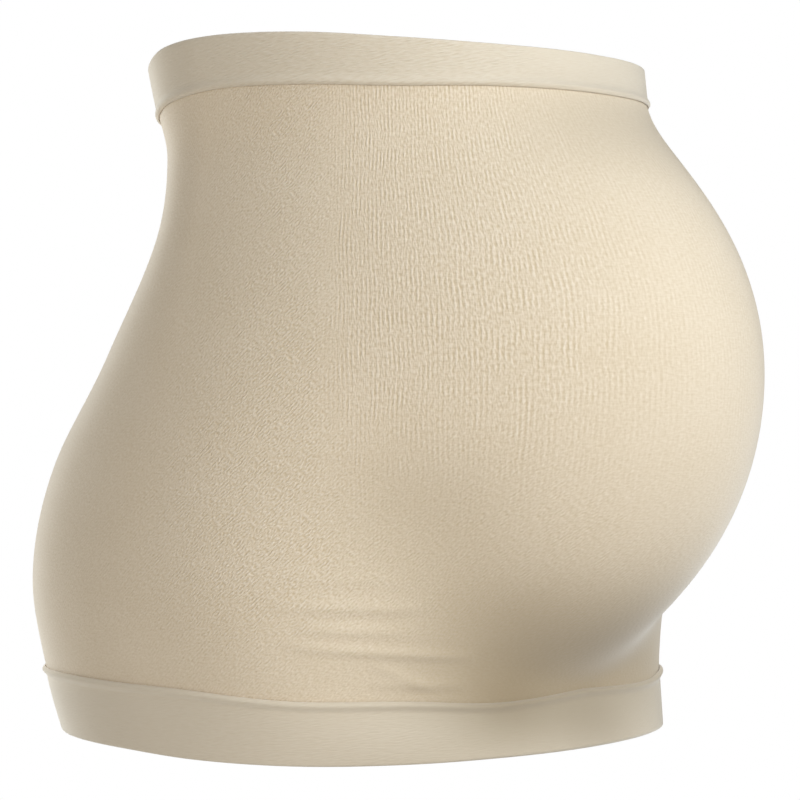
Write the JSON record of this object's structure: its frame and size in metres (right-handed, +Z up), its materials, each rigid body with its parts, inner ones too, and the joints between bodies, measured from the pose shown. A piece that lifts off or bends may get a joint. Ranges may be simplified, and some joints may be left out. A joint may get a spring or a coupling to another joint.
{
  "type": "maternity support band",
  "caption": "Seamless knitted maternity band in its worn form: a hollow stretch tube over belly and hips with a turned double welt at each end.",
  "frame": {"origin": "inside the hollow, on the wearer's body axis, 167 mm above the level of the hem", "axes": "+Z up the wearer's spine, -Y out of the belly, -X towards the wearer's right side"},
  "size_m": [0.3298, 0.3609, 0.3336],
  "materials": {
    "body_knit": "matt beige microfibre knit",
    "welt_knit": "matt beige microfibre knit, plain and doubled"
  },
  "bodies": {
    "root": {"waist_welt": "welt_knit", "belly_tube": "body_knit", "hip_welt": "welt_knit"}
  },
  "joints": []
}
